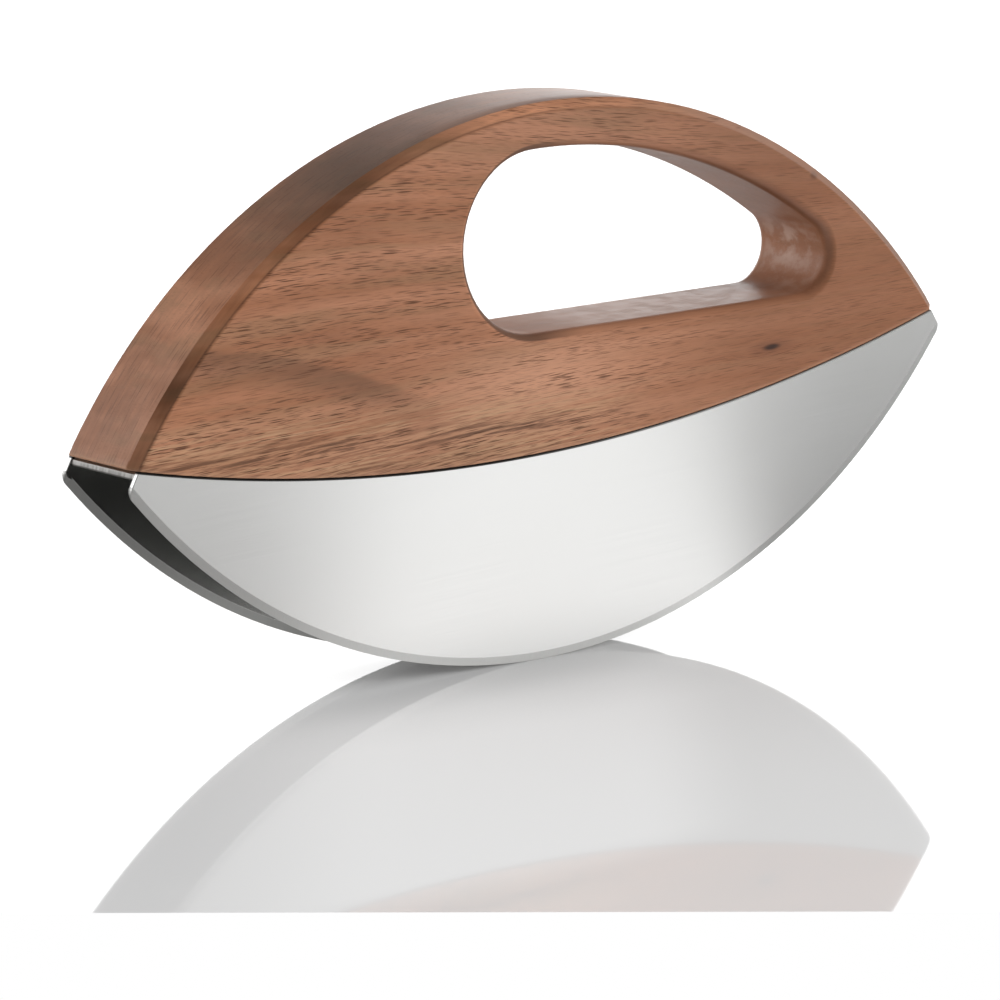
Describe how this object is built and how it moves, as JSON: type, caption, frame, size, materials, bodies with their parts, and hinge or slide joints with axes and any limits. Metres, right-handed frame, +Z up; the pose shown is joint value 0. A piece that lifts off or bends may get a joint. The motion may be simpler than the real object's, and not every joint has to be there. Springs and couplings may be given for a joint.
{
  "type": "double mezzaluna",
  "caption": "Rocking herb cutter: curved parallel steel blades, joined by a bridge plate, under an arched wooden handle with an off-centre teardrop hand hole.",
  "frame": {"origin": "on the table under the middle of the blades, halfway between the two cutting edges", "axes": "+X along the blades towards the narrow end of the hand hole, +Y from the front blade to the rear blade, +Z up"},
  "size_m": [0.19, 0.02, 0.1008],
  "materials": {
    "walnut": "oiled, satin",
    "satin_steel": "satin",
    "cut_steel": "plain",
    "screw_steel": "plain"
  },
  "bodies": {
    "root": {"handle": "walnut", "blade_front": "satin_steel", "blade_rear": "satin_steel", "bridge_plate": "cut_steel", "screw_1": "screw_steel", "screw_2": "screw_steel", "screw_3": "screw_steel", "screw_4": "screw_steel"}
  },
  "joints": []
}
